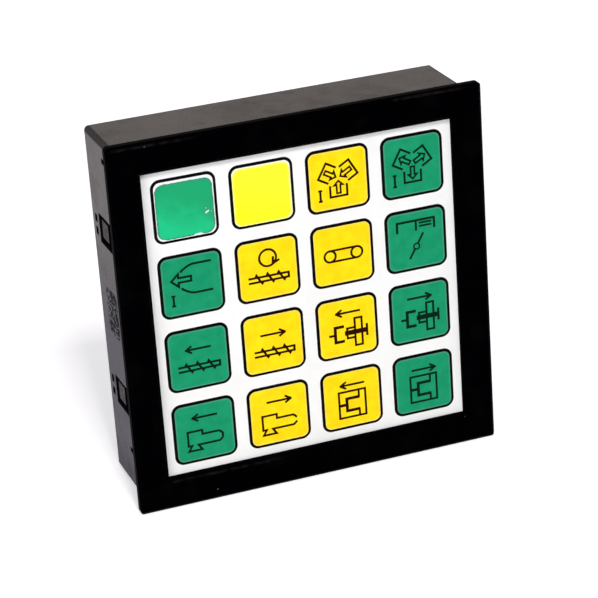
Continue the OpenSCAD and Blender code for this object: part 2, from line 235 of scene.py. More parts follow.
def unsigned(tree, value):
    return addNode(tree, "ShaderNodeMath", {0: value}, operation="ABSOLUTE").outputs[0]


def mixed(tree, share, first, second):
    made = addNode(tree, "ShaderNodeMix", data_type="RGBA")
    for index, value in ((0, share), (6, first), (7, second)):
        if isinstance(value, bpy.types.NodeSocket):
            tree.links.new(value, made.inputs[index])
        else:
            made.inputs[index].default_value = value
    return made.outputs[2]


def shaded(tree, share, colour, factors):
    # that share of the colour times the factors
    darker = addNode(tree, "ShaderNodeMix", {"Factor": 1.0}, data_type="RGBA", blend_type="MULTIPLY")
    tree.links.new(colour, darker.inputs[6])
    darker.inputs[7].default_value = (*factors, 1.0)
    return mixed(tree, share, colour, darker.outputs[2])


def raised(tree, shader, height, depth):
    bump = addNode(tree, "ShaderNodeBump", {"Height": height, "Distance": depth * mm, "Strength": 1.0})
    tree.links.new(bump.outputs[0], shader.inputs["Normal"])


def grain(tree, shader, place, size, detail, depth):
    raised(tree, shader, cloudy(tree, place, size, detail), depth)


def splitPlace(tree, place):
    return addNode(tree, "ShaderNodeSeparateXYZ", {0: place}).outputs


def spotMask(tree, place, spot, radius, core=0.55):
    # full within that share of the radius, and fading to its edge
    away = addNode(tree, "ShaderNodeVectorMath", {0: place, 1: spot}, operation="DISTANCE")
    return between(tree, away.outputs["Value"], radius, radius * core)


def within(tree, place, sides, depths, heights):
    # 1 where the distance from the middle, the depth and the height from the middle are all in range
    parts = splitPlace(tree, place)
    aside = unsigned(tree, parts["X"])
    depth = maths(tree, "SUBTRACT", parts["Y"], frontY)
    height = unsigned(tree, maths(tree, "SUBTRACT", parts["Z"], middleZ))
    inside = 1.0
    for value, (low, high) in ((aside, sides), (depth, depths), (height, heights)):
        for kind, limit in (("GREATER_THAN", low), ("LESS_THAN", high)):
            inside = maths(tree, "MULTIPLY", inside, maths(tree, kind, value, limit))
    return inside


# Front frame: near black moulding with a few light nicks, and pale lines along three edges that are partly
# wear and partly painted highlight

blackFrame = {
    "base": (0, 0, 1),
    "rubbed": (4, 4, 5),
    "rubbedClouds": (9, 5, (0.52, 0.8)),
    "nick": (80, 77, 80),
    "nicks": [(-38.4, 47.0, 0.3), (-27.9, -45.2, 0.26), (39.7, -40.5, 0.24)],  # x, height and radius
    # painted highlight where three edges catch the light, with some wear
    "wornEdgeHighlight": (25, 21, 22),
    "wornEdgeHighlights": [(47.1, -47.6, -24.0), (47.3, 24.0, 46.5), (-40.7, -40.0, -8.0)],  # height, two ends
    "wornHighlightClouds": (2.5, 3, (0.25, 0.75)),
    "wornHighlightHalf": (0.1, 0.45),  # half widths within which a worn, highlighted edge is full, and at which it ends
    "wornHighlightEnds": (2.0, 8.0),  # lengths over which it comes in at the first end and goes at the last
    "wornHighlightDepth": 1.0,
    "lug": (98, 94, 96),  # the outer faces of the snap lugs are rubbed grey
    "lugDark": (66, 62, 66),
    "lugClouds": (1.3, 4),
    "lugFrom": (45.4, 13.9, 19.0),  # distance from the middle, and first and last depth
    "roughness": 0.5,
    "gloss": 0.004,
    "grain": (0.35, 2, 0.012),
}


def wornHighlightMask(tree, place, height, first, last):
    # where an edge carries its painted highlight, broken up like wear
    parts = splitPlace(tree, place)
    full, gone = blackFrame["wornHighlightHalf"]
    comes, goes = blackFrame["wornHighlightEnds"]
    away = unsigned(tree, maths(tree, "SUBTRACT", parts["Z"], middleZ + height))
    shares = [
        between(tree, away, gone, full),
        between(tree, parts["X"], first, first + comes),
        between(tree, parts["X"], last, last - goes),
        maths(tree, "LESS_THAN", parts["Y"], frontY + blackFrame["wornHighlightDepth"]),
    ]
    wornHighlight = cloudy(tree, place, *blackFrame["wornHighlightClouds"])
    for share in shares:
        wornHighlight = maths(tree, "MULTIPLY", wornHighlight, share)
    return wornHighlight


def blackFrameMaterial():
    made, tree, shader = startMaterial("black_frame_plastic", blackFrame["roughness"], blackFrame["gloss"])
    place = placeInMillimetres(tree)
    rubbing = cloudy(tree, place, *blackFrame["rubbedClouds"])
    colour = mixed(tree, rubbing, tint(*blackFrame["base"]), tint(*blackFrame["rubbed"]))
    for x, height, radius in blackFrame["nicks"]:
        nick = spotMask(tree, place, (x, frontY, middleZ + height), radius)
        colour = mixed(tree, nick, colour, tint(*blackFrame["nick"]))
    # painted highlights along three edges, with some wear
    for height, first, last in blackFrame["wornEdgeHighlights"]:
        wornHighlight = wornHighlightMask(tree, place, height, first, last)
        colour = mixed(tree, wornHighlight, colour, tint(*blackFrame["wornEdgeHighlight"]))
    out, first, last = blackFrame["lugFrom"]
    lug = within(tree, place, (out, frameHigh.x / mm), (first, last), (0, foilHalf))
    uneven = cloudy(tree, place, *blackFrame["lugClouds"])
    lugColour = mixed(tree, uneven, tint(*blackFrame["lugDark"]), tint(*blackFrame["lug"]))
    colour = mixed(tree, lug, colour, lugColour)
    tree.links.new(colour, shader.inputs["Base Color"])
    grain(tree, shader, place, *blackFrame["grain"])
    return made


# Housing: dark grey moulding, rubbed and smudged, with painted light paler towards the top and painted shade
# along its round edges, its foot, its top and its openings

greyHousing = {
    "low": (102, 98, 105),  # the lower half, and from there paler to the top: painted light, brighter higher up
    "high": (121, 118, 117),
    "paintedLightFade": (-8.0, 26.0),  # heights from the middle between which the painted light makes it paler
    "foot": (84, 81, 88),  # painted shade: the darkest strip along the bottom
    "footShadeFrom": (-43.5, -34.0),
    "topShade": (105, 99, 96),  # painted shade: what faces up gets a darker, warmer tone
    "facingUp": (0.8, 0.95),  # how far the surface has to face up for it
    "patches": {  # how each kind lies, and the shares of the colour under it that it lets through
        "rubbed": ((14, 4, (0.42, 0.7)), (1.1, 1.1, 1.1)),
        "smudge": ((6, 5, (0.5, 0.78)), (0.8, 0.79, 0.78)),
        "pores": ((0.55, 3, (0.42, 0.62)), (0.86, 0.86, 0.86)),
    },
    "stains": [(-8.0, 16.5, 10.0), (8.0, 11.5, 8.5), (23.0, 12.0, 9.5)],  # on top: x, depth and radius
    "stainClouds": (7, 4, (0.35, 0.6)),
    "stainShares": (0.8, 0.79, 0.78),
    # painted shade along the round long edges
    "edge": (54, 52, 51),
    "edgeShadeSlant": (0.03, 0.25),  # how far the round long edges slant for it
    "hollow": (12, 11, 13),  # painted shade inside, and in the openings of the side walls
    "hollowShadeFrom": (0.0, 45.98),  # distances from the middle, inside the wall's outer face
    "hollowShadeTo": (24.1, 44.1),  # greatest depth, and height above or below the middle
    "roughness": 0.62,
    "gloss": 0.025,
    "grain": (0.3, 3, 0.02),
}

# A speckled, worn patch on the left wall
wornPatch = {
    "at": (-46.0, 15.8, 0.2),  # x, depth and height
    "half": (2.5, 4.7, 6.1),
    "speck": (8, 7, 12),
    "power": 6.0,  # a higher one makes the patch more square
    "ends": (1.3, 0.7),  # where the specks end, and within which they are full, as shares of its size
    "thickens": (3.0, 0.0),  # depths behind its middle where the specks are sparse, and dense
    "stretch": (1, 0.4, 1),  # the specks are long from front to back
    "sparse": (0.52, 2, (0.47, 0.51)),
    "dense": (0.52, 2, (0.41, 0.45)),
}


def specks(tree):
    x, depth, height = wornPatch["at"]
    patch = placeInMillimetres(tree, (x, frontY + depth, middleZ + height))
    shares = addNode(tree, "ShaderNodeVectorMath", {0: patch, 1: wornPatch["half"]}, operation="DIVIDE")
    parts = splitPlace(tree, shares.outputs[0])
    reach = 0.0
    for axis in ("X", "Y", "Z"):
        reach = maths(tree, "ADD", reach, maths(tree, "POWER", parts[axis], wornPatch["power"]))
    thickness = between(tree, splitPlace(tree, patch)["Y"], *wornPatch["thickens"])
    dabs = placeInMillimetres(tree, stretch=wornPatch["stretch"])
    sparse = cloudy(tree, dabs, *wornPatch["sparse"])
    dense = cloudy(tree, dabs, *wornPatch["dense"])
    inside = between(tree, reach, *wornPatch["ends"])
    return maths(tree, "MULTIPLY", inside, mixed(tree, thickness, sparse, dense))


def greyHousingMaterial():
    made, tree, shader = startMaterial("grey_housing_plastic", greyHousing["roughness"], greyHousing["gloss"])
    place = placeInMillimetres(tree)
    normal = splitPlace(tree, addNode(tree, "ShaderNodeTexCoord").outputs["Normal"])
    height = splitPlace(tree, place)["Z"]
    # painted light: the housing turns paler towards the top
    paintedLightFade = between(tree, height, *[middleZ + level for level in greyHousing["paintedLightFade"]])
    colour = mixed(tree, paintedLightFade, tint(*greyHousing["low"]), tint(*greyHousing["high"]))
    # painted shade: darker along the bottom
    foot = between(tree, height, *[middleZ + level for level in greyHousing["footShadeFrom"]], 1.0, 0.0)
    colour = mixed(tree, foot, colour, tint(*greyHousing["foot"]))
    # painted shade: a darker, warmer tone on what faces up
    facingUp = between(tree, normal["Z"], *greyHousing["facingUp"])
    colour = mixed(tree, facingUp, colour, tint(*greyHousing["topShade"]))
    for clouds, shares in greyHousing["patches"].values():
        colour = shaded(tree, cloudy(tree, place, *clouds), colour, shares)
    uneven = cloudy(tree, place, *greyHousing["stainClouds"])
    for x, depth, radius in greyHousing["stains"]:
        stain = spotMask(tree, place, (x, frontY + depth, housingTop), radius)
        colour = shaded(tree, maths(tree, "MULTIPLY", stain, uneven), colour, greyHousing["stainShares"])
    # painted shade along the round long edges, where the surface slants
    slant = unsigned(tree, maths(tree, "MULTIPLY", normal["X"], normal["Z"]))
    colour = mixed(tree, between(tree, slant, *greyHousing["edgeShadeSlant"]), colour, tint(*greyHousing["edge"]))
    colour = mixed(tree, specks(tree), colour, tint(*wornPatch["speck"]))
    # painted shade inside the housing and in the openings of its side walls
    deepest, farthest = greyHousing["hollowShadeTo"]
    heights = (-1, farthest)  # with the middle itself
    shadedOpening = within(tree, place, greyHousing["hollowShadeFrom"], (0, deepest), heights)
    colour = mixed(tree, shadedOpening, colour, tint(*greyHousing["hollow"]))
    tree.links.new(colour, shader.inputs["Base Color"])
    grain(tree, shader, place, *greyHousing["grain"])
    return made


# The foil's print and inks

foilFinish = {
    "white": ((246, 246, 245), (242, 242, 240)),
    "outline": ((3, 3, 4), (6, 6, 6)),
    "cloudSizes": {"white": 7, "outline": 5, "print": 3},
    "cloudDetail": 4,
    "paleRim": (0.85, 1.3, 0.6),  # distances inside a field's edge where it is full and gone, and its share
    "roughness": 0.42,
    "gloss": 0.12,
    "inkGloss": 0.03,
    "grain": (0.22, 1, 0.004),
}


def foilMaterial(name, kind, main, second, gloss=foilFinish["gloss"], rim=None):
    made, tree, shader = startMaterial(name, foilFinish["roughness"], gloss)
    place = placeInMillimetres(tree)
    clouds = cloudy(tree, place, foilFinish["cloudSizes"][kind], foilFinish["cloudDetail"])
    colour = mixed(tree, clouds, tint(*main), tint(*second))
    if rim:
        inward = addNode(tree, "ShaderNodeAttribute", attribute_name="inward").outputs["Fac"]
        full, gone, share = foilFinish["paleRim"]
        colour = mixed(tree, between(tree, inward, full, gone, share, 0.0), colour, tint(*rim))
    tree.links.new(colour, shader.inputs["Base Color"])
    grain(tree, shader, place, *foilFinish["grain"])
    return made


def inkMaterial(name, colour):
    made, tree, shader = startMaterial(name, foilFinish["roughness"], foilFinish["inkGloss"])
    shader.inputs["Base Color"].default_value = tint(*colour)
    grain(tree, shader, placeInMillimetres(tree), *foilFinish["grain"])
    return made


# Two shades of each field's print, and the colour of its rim
printColours = {
    "green": ((8, 142, 98), (20, 151, 106), (84, 152, 126)),
    "yellow": ((255, 215, 4), (255, 228, 10), (255, 222, 110)),
    "blank": ((244, 246, 246), (236, 240, 238), (246, 246, 246)),
}
inkColours = {"green": (5, 34, 18), "yellow": (38, 8, 2)}

foilWhite = foilMaterial("white_foil", "white", *foilFinish["white"])
outlineInk = foilMaterial("outline_ink", "outline", *foilFinish["outline"], foilFinish["inkGloss"])
fieldFinish = {}
for name, (main, second, rim) in printColours.items():
    fieldFinish[name] = foilMaterial(f"{name}_print", "print", main, second, rim=rim)
symbolInk = {}
for name, colour in inkColours.items():
    symbolInk[name] = inkMaterial(f"ink_on_{name}", colour)
print("the materials of frame, housing and print are defined")


# Flat outlines in millimetres, seen from the front, as lists of corners

def roundedSquare(width, height, radius, centre=(0, 0), corners=10, steps=8):
    outline = []
    for turn, (sx, sy) in enumerate(((1, 1), (-1, 1), (-1, -1), (1, -1))):
        middle = Vector((centre[0] + sx * (width / 2 - radius), centre[1] + sy * (height / 2 - radius)))
        arc = []
        for step in range(corners + 1):
            angle = math.radians(90 * (turn + step / corners))
            arc.append(middle + radius * Vector((math.cos(angle), math.sin(angle))))
        outline += arc
    filled = []  # with more points along its straight sides
    for here, after in zip(outline, outline[1:] + outline[:1]):
        filled.append(here)
        if (after - here).length > radius:
            filled += [here.lerp(after, step / steps) for step in range(1, steps)]
    return filled


def circle(centre, radius, corners=40):
    turns = [2 * math.pi * step / corners for step in range(corners)]
    return [Vector(centre) + radius * Vector((math.cos(a), math.sin(a))) for a in turns]


def sideStep(points, distance, closed):
    # the same line moved to its left, with mitred corners
    moved = []
    for index, point in enumerate(points):
        ways = []
        if closed or index:
            ways.append((point - points[index - 1]).normalized())
        if closed or index < len(points) - 1:
            ways.append((points[(index + 1) % len(points)] - point).normalized())
        sides = [Vector((-way.y, way.x)) for way in ways]
        if len(sides) == 1:
            moved.append(point + sides[0] * distance)
        else:
            moved.append(point + (sides[0] + sides[1]) * distance / (1 + sides[0].dot(sides[1])))
    return moved


def stroke(points, width):
    points = [Vector(p) for p in points]
    left = sideStep(points, width / 2, False)
    right = sideStep(points, -width / 2, False)
    return [("ink", left + right[::-1])]


def hollow(points, width):
    # a closed line of that width, with the field's own colour inside it
    points = [Vector(p) for p in points]
    if signedArea(points) < 0:
        points.reverse()
    return [("ink", sideStep(points, -width / 2, True)), ("field", sideStep(points, width / 2, True))]


def signedArea(points):
    return sum(a.x * b.y - b.x * a.y for a, b in zip(points, points[1:] + points[:1])) / 2


def rectangle(left, right, low, high):
    return [Vector(corner) for corner in ((left, low), (right, low), (right, high), (left, high))]


def block(left, right, low, high):
    return [("ink", rectangle(left, right, low, high))]


def turned(points, angle, centre):
    turn = math.radians(angle)
    made = []
    for x, y in points:
        made.append((centre[0] + x * math.cos(turn) - y * math.sin(turn),
                     centre[1] + x * math.sin(turn) + y * math.cos(turn)))
    return made


# The printed machine signs, each as a list of inked and cleared shapes round the middle of its key

signs = {
    "line": 0.57,  # width of most lines
    "thick": 0.8,  # and of the heavy ones
    "serif": 1.05,  # width of the numeral's feet
    "bowSteps": 8,
}
line = signs["line"]
thick = signs["thick"]


def romanOne(x, low, high):
    made = stroke([(x, low), (x, high)], line)
    half = signs["serif"] / 2
    for level in (low + line / 2, high - line / 2):
        made += stroke([(x - half, level), (x + half, level)], line * 0.9)
    return made


def threeBoxes(inward):
    centre = (0.2, 0.1)
    nearEnd, farEnd, half = 1.7, 4.67, 2.2  # of a box, measured outwards from the centre
    tip, wing, wingHalf, shaftHalf, tail = 0.72, 1.8, 1.12, 0.5, 3.9  # of its arrow
    if not inward:
        tip, wing, tail = 3.9, 2.75, 0.75
    made = []
    for angle in (-90, 30, 150):
        box = [(nearEnd, half), (farEnd, half), (farEnd, -half), (nearEnd, -half)]
        made += stroke(turned(box, angle, centre), line)
        arrow = [(tip, 0), (wing, wingHalf), (wing, shaftHalf), (tail, shaftHalf),
                 (tail, -shaftHalf), (wing, -shaftHalf), (wing, -wingHalf)]
        made += hollow(turned(arrow, angle, centre), line * 0.85)
    return made


def hornAndArrow():
    middle = 1.05
    neckX, neck, mouth, bowLength, end = -2.3, 2.35, 3.75, 3.3, 5.4  # of the horn, up from its middle
    made = []
    for side in (1, -1):
        bend = [(-2.35, 2.0), (neckX, neck)]
        for step in range(1, signs["bowSteps"] + 1):  # a quarter bow up to the straight end
            share = step / signs["bowSteps"]
            bend.append((neckX + bowLength * share, neck + (mouth - neck) * math.sin(share * math.pi / 2)))
        bend.append((end, mouth))
        made += stroke([(x, middle + side * y) for x, y in bend], line)
    arrow = [(-5.0, 0), (-3.15, 1.65), (-3.15, 0.6), (0.05, 0.6), (0.05, -0.6), (-3.15, -0.6), (-3.15, -1.65)]
    made += hollow([(x, middle + 0.1 + y) for x, y in arrow], line)
    return made


def turningCircle():
    centre, radius = (0.47, 2.45), 2.46
    made = [("ink", circle(centre, radius)), ("field", circle(centre, radius - line))]
    made += stroke([(1.85, 2.6), (1.72, 0.72), (3.45, 1.55)], line * 1.05)
    return made


def screwSide(shift=0.0):
    top, low, start, end = -2.25, -3.45, -4.85 + shift, 5.6
    firstFlight, flightPitch = -2.75 + shift, 2.9
    made = stroke([(start, top), (end, top)], line)
    made += stroke([(start, low), (end, low)], line)
    made += stroke([(end, top + line / 2), (end, low - line / 2)], line * 1.1)
    for flight in range(3):
        x = firstFlight + flightPitch * flight
        tipUp, tipDown = Vector((x, top + 1.15)), Vector((x + 1.4, low - 1.0))
        made += [("ink", [tipUp, Vector((x - 0.7, top)), Vector((x + 0.75, top))])]
        made += [("ink", [tipDown, Vector((tipDown.x + 0.75, low)), Vector((tipDown.x - 0.65, low))])]
        made += stroke([(x + 0.15, top + 0.3), (tipDown.x - 0.15, low - 0.3)], line)
    return made


def longArrow(level, pointing, middle=0.3):
    half, barb, spread = 3.3, 1.7, 0.95
    tip = middle + pointing * half
    made = stroke([(middle - pointing * half, level), (tip - pointing * 0.5, level)], line)
    for side in (1, -1):
        made += stroke([(tip, level - side * 0.08), (tip - pointing * barb, level + side * spread)], line)
    head = [(tip + pointing * 0.15, level), (tip - pointing, level + 0.5), (tip - pointing, level - 0.5)]
    made += [("ink", [Vector(corner) for corner in head])]
    return made


def beltDrive():
    # two wheels, and a belt that joins their tops and their feet
    middle, radius, centres = -0.2, 1.46, (-3.45, 3.6)
    belt, wheels = [], []
    for finish, reach in (("ink", radius + line / 2), ("field", radius - line / 2)):
        left, right = [circle((x, middle), reach) for x in centres]
        quarter = len(left) // 4
        belt.append((finish, [left[quarter], left[-quarter], right[-quarter], right[quarter]]))
        wheels += [(finish, left), (finish, right)]
    return belt + wheels


def switchedTable():
    left, right, top, foot = -4.9, 5.05, 4.84, 2.15
    made = stroke([(left, foot), (left, top), (right, top), (right, foot)], line * 1.1)
    made += stroke([(0.15, top), (0.15, foot)], line)
    for level in (4.05, 3.2):
        made += stroke([(0.95, level), (4.35, level)], line * 0.9)
    made += stroke([(2.05, 1.35), (-1.87, -5.15)], line)
    pivot = (0.1, -2.0)
    made += [("ink", circle(pivot, 0.98)), ("field", circle(pivot, 0.55))]
    return made


def ejector(lift=0.0):
    middle = -1.8 + lift
    forkX, plateX = -3.3, 1.98
    forkTop, forkFoot = middle + 2.0, middle - 1.95
    made = stroke([(-0.9, forkTop), (forkX, forkTop), (forkX, forkFoot), (-0.9, forkFoot)], thick)
    made += stroke([(-5.0, middle), (forkX, middle)], line * 1.1)
    made += hollow(rectangle(plateX, 3.85, middle - 3.65, middle + 3.7), line)
    made += hollow(rectangle(-0.1, plateX, middle - 1.4, middle + 1.3), line)
    made += block(-0.78, 5.1, middle - 0.62, middle + 0.68)
    made += block(4.85, 5.48, middle - 1.6, middle + 1.68)
    return made


def injector(noseGap):
    top, step, low, foot = 0.05, -1.05, -3.75, -5.15
    back, stepX, neckX, nose = -4.38, -0.58, 3.8, 4.68
    outline = [(nose, step - 0.9), (nose - 0.25, step - 0.55), (neckX, step), (stepX, step), (stepX, top),
               (back, top), (back, low), (-3.45, low), (-4.35, foot), (-0.9, foot), (-1.8, low),
               (neckX, low), (nose - 0.25, low + 0.5), (nose, low + 0.85)]
    made = stroke(outline, line)
    if not noseGap:
        made += stroke([(nose, step - 0.8), (nose, low + 0.8)], line)
    return made


def mouldHalves():
    left, right, top, low = -3.42, 3.7, 2.0, -5.1
    parting, coreX = 1.95, -1.35
    made = hollow(rectangle(left, right, low, top), line)
    made += stroke([(parting, top), (parting, 0.0)], line)
    made += stroke([(parting, low), (parting, -3.25)], line)
    made += stroke([(2.15, 0.03), (coreX, 0.03), (coreX, -3.3), (2.15, -3.3)], thick)
    made += stroke([(left, -1.6), (coreX, -1.6)], thick)
    return made


# Field colour, printing offset and sign of each key, row by row from the top left
keyPrints = {
    "00": ("blank", (0, 0), []),
    "01": ("blank", (0, 0), []),
    "02": ("yellow", (-0.19, 0.2), threeBoxes(True) + romanOne(-4.6, -5.45, -2.2)),
    "03": ("green", (-0.22, 0.27), threeBoxes(False) + romanOne(-4.6, -5.45, -2.0)),
    "10": ("green", (-0.1, 0.42), hornAndArrow() + romanOne(-4.8, -5.55, -2.45)),
    "11": ("yellow", (-0.37, 0.46), turningCircle() + screwSide()),
    "12": ("yellow", (0.1, 0.1), beltDrive()),
    "13": ("green", (-0.04, 0.18), switchedTable()),
    "20": ("green", (-0.2, 0.59), longArrow(2.0, -1) + screwSide(-0.3)),
    "21": ("yellow", (-0.31, 0.38), longArrow(1.95, 1) + screwSide()),
    "22": ("yellow", (0.0, 0.13), longArrow(3.8, -1) + ejector()),
    "23": ("green", (-0.17, 0.12), longArrow(3.85, 1, 0.2) + ejector(0.18)),
    "30": ("green", (-0.13, 0.28), longArrow(3.6, -1) + injector(False)),
    "31": ("yellow", (-0.09, 0.17), longArrow(3.6, 1) + injector(True)),
    "32": ("yellow", (-0.06, 0.11), longArrow(3.75, -1) + mouldHalves()),
    "33": ("green", (-0.14, 0.14), longArrow(3.75, 1, 0.35) + mouldHalves()),
}
print("signs are drawn:", sum(len(shapes) for field, offset, shapes in keyPrints.values()), "shapes")


# The foil: a plain sheet with a hole at each key, and in each hole its embossed, printed field

foil = {
    "thickness": 0.25,
    "rise": 0.2,  # how far a field is embossed
    "slope": 0.62,  # width of the embossed slope
    "fieldSide": 16.4,
    "fieldRadius": 2.4,
    "outline": 0.76,  # width of a field's black outline
    "rings": (0.1, 0.2, 0.31, 0.42, 0.53, 0.62, 0.76, 1.0, 1.35),  # rows of points inside the edge
    "pressed": 0.2,  # share of its height that a pressed field keeps
    "tolerance": 1e-5,  # distance within which two points of an outline count as one
}
foilDepth = foilLow.y / mm - frontY + foil["rise"]  # of the flat sheet's front


def insideBy(spot, side=foil["fieldSide"], radius=foil["fieldRadius"]):
    # how far a spot lies inside the edge of a key's field
    cornerX = abs(spot[0]) - (side / 2 - radius)
    cornerY = abs(spot[1]) - (side / 2 - radius)
    outer = math.hypot(max(cornerX, 0), max(cornerY, 0)) + min(max(cornerX, cornerY), 0)
    return radius - outer


def embossedDepth(spot):
    share = min(max(insideBy(spot) / foil["slope"], 0), 1)
    return foilDepth - foil["rise"] * share * share * (3 - 2 * share)


def flatDepth(spot):
    return foilDepth


def overlaid(layers):
    # later layers cover earlier ones, and a layer without a finish is a hole
    corners, faces = [], []
    for finish, outline in layers:
        if signedArea(outline) < 0:
            outline = outline[::-1]
        faces.append(list(range(len(corners), len(corners) + len(outline))))
        corners += outline
    insideOnly, withOwners = 1, True
    made = delaunay_2d_cdt(corners, [], faces, insideOnly, foil["tolerance"], withOwners)
    spots, pieces, owners = made[0], made[2], made[5]
    kept = []
    for piece, owner in zip(pieces, owners):
        finish = layers[max(owner)][0] if owner else None
        if finish:
            kept.append((piece, finish))
    return spots, kept


def thinPiece(name, centre, layers, depthAt, thickness):
    # a sheet of that thickness, whose front lies at the depth of each spot
    spots, kept = overlaid(layers)
    used = sorted({index for piece, finish in kept for index in piece})
    fresh = {old: new for new, old in enumerate(used)}
    count = len(used)
    points = []  # of the front, and after them those of the back
    for extra in (0, thickness):
        for old in used:
            u, v = spots[old]
            points.append(Vector((centre[0] + u, frontY + depthAt(spots[old]) + extra, centre[1] + v)) * mm)
    finishes, skins, skinFinish, smooth = [], [], [], []
    sides = {}
    for piece, finish in kept:
        if finish not in finishes:
            finishes.append(finish)
        turn = [fresh[index] for index in piece]
        skins.append(turn)
        skinFinish.append(finishes.index(finish))
        smooth.append(True)
        for first, second in zip(turn, turn[1:] + turn[:1]):
            sides[(first, second)] = finishes.index(finish)
    front = len(skins)
    for index in range(front):
        skins.append([corner + count for corner in reversed(skins[index])])
        skinFinish.append(0)
        smooth.append(True)
    for (first, second), finish in sides.items():
        if (second, first) not in sides:  # an outer edge
            skins.append([second, first, first + count, second + count])
            skinFinish.append(finish)
            smooth.append(False)
    mesh = bpy.data.meshes.new(name)
    mesh.from_pydata(points, [], skins)
    for finish in finishes:
        mesh.materials.append(finish)
    mesh.polygons.foreach_set("material_index", skinFinish)
    mesh.polygons.foreach_set("use_smooth", smooth)
    inward = mesh.attributes.new("inward", "FLOAT", "POINT")  # how far inside the edge of a field
    reach = foil["rings"][-1]
    inward.data.foreach_set("value", [min(max(insideBy(spots[old]), 0), reach) for old in used] * 2)
    rims = {tuple(sorted(edge)) for side in mesh.polygons[2 * front:] for edge in side.edge_keys}
    for edge in mesh.edges:
        edge.use_edge_sharp = tuple(sorted(edge.vertices)) in rims
    mesh.update()
    made = bpy.data.objects.new(name, mesh)
    bpy.context.scene.collection.objects.link(made)
    return made


def fieldOutline(inset=0.0, centre=(0, 0)):
    side = foil["fieldSide"] - 2 * inset
    return roundedSquare(side, side, foil["fieldRadius"] - inset, centre)


def flattenWith(made):
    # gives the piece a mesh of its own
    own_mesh(made)


def makeFoil():
    sheet = [(foilWhite, rectangle(-foilHalf, foilHalf, -foilHalf, foilHalf))]
    for centre in keyCentres.values():
        sheet.append((None, fieldOutline(0, (centre.x, centre.y - middleZ))))
    made = thinPiece("foil_sheet", (0, middleZ), sheet, flatDepth, foil["thickness"])
    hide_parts("overlay_foil")
    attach(made, "module")
    for key, (field, offset, shapes) in keyPrints.items():
        layers = [(outlineInk, fieldOutline())]
        for inset in foil["rings"]:
            finish = outlineInk if inset < foil["outline"] else fieldFinish[field]
            layers.append((finish, fieldOutline(inset)))
        for finish, shape in shapes:
            moved = [point + Vector(offset) for point in shape]
            layers.append((symbolInk[field] if finish == "ink" else fieldFinish[field], moved))
        made = thinPiece(f"key_field_{key}", keyCentres[key], layers, embossedDepth, foil["thickness"])
        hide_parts("overlay_foil")
        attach(made, "module")
        flattenWith(made)


makeFoil()
print("the foil and its sixteen fields are made")


# Two stick-on labels with torn, uneven edges

labels = {
    "label_green": {
        "key": "00", "width": 14.45, "height": 14.05, "centre": (-0.06, -0.2), "radius": 2.1, "wander": 0.14,
        "main": (27, 196, 132), "second": (24, 164, 108), "edge": (58, 140, 108), "edgeWidth": 0.36,
        "notches": [(2.85, 1.3, 0.36), (-5.6, 0.7, 0.12)],  # in its lower edge: where, half width, depth
        "holes": [[(4.8, -2.2), (5.2, -2.35), (5.75, -1.95), (6.1, -1.5), (5.6, -1.5), (5.0, -1.8)],
                  [(6.35, -2.0), (6.5, -2.15), (6.62, -1.85), (6.45, -1.75)],
                  [(5.0, -0.95), (5.2, -1.15), (5.35, -0.9), (5.15, -0.75)]],
        "specks": (6.0, -1.6, 3.2),  # x and height from the middle of the key, and radius
    },
    "label_yellow": {
        "key": "01", "width": 14.72, "height": 14.62, "centre": (-0.06, -0.11), "radius": 2.0, "wander": 0.08,
        "main": (255, 255, 30), "second": (255, 255, 48), "edge": (255, 255, 140), "edgeWidth": 0.36,
        "notches": [], "holes": [],
        "specks": (-1.1, 1.8, 1.4),
    },
}

labelFinish = {
    "thickness": 0.12,
    "edgeStep": 0.3,  # between the points of its torn edge
    "edgeWaves": 1.1,  # waves of the torn edge in a millimetre, roughly
    "notchPower": 4,  # a high power makes the notches square
    "rings": (0.2, 0.45, 0.8, 1.2),  # rows of points inside the edge
    "ringClear": (0.3, 0.9),  # how much narrower and lower they are, to stay clear of notches
    "bandSlope": 0.35,  # a darker band runs from the upper left to the right
    "bandFrom": (-5.0, 4.5),
    "bandDrift": 3.0,
    "bandClouds": (4, 2),
    "fineClouds": (0.45, 2, (0.45, 0.6)),
    "ragged": 0.25,  # how far the pale rim reaches inwards with them
    "speckShare": 0.35,
    "roughness": 0.4,
    "gloss": 0.12,
    "grain": (0.4, 2, 0.006),
}


def tornEdge(label):
    # the label's rounded outline, uneven by a smooth noise
    outline = roundedSquare(label["width"], label["height"], label["radius"], label["centre"])
    torn = []
    for here, after in zip(outline, outline[1:] + outline[:1]):
        steps = max(1, round((after - here).length / labelFinish["edgeStep"]))
        for step in range(steps):
            spot = here.lerp(after, step / steps)
            wave = noise.noise(Vector((spot.x, spot.y, label["width"])) * labelFinish["edgeWaves"])
            spot -= spot.normalized() * label["wander"] * wave
            for x, half, depth in label["notches"]:
                if spot.y < 0 and abs(spot.x - x) < half:
                    spot.y += depth * (1 - ((spot.x - x) / half) ** labelFinish["notchPower"])
            torn.append(spot)
    return torn


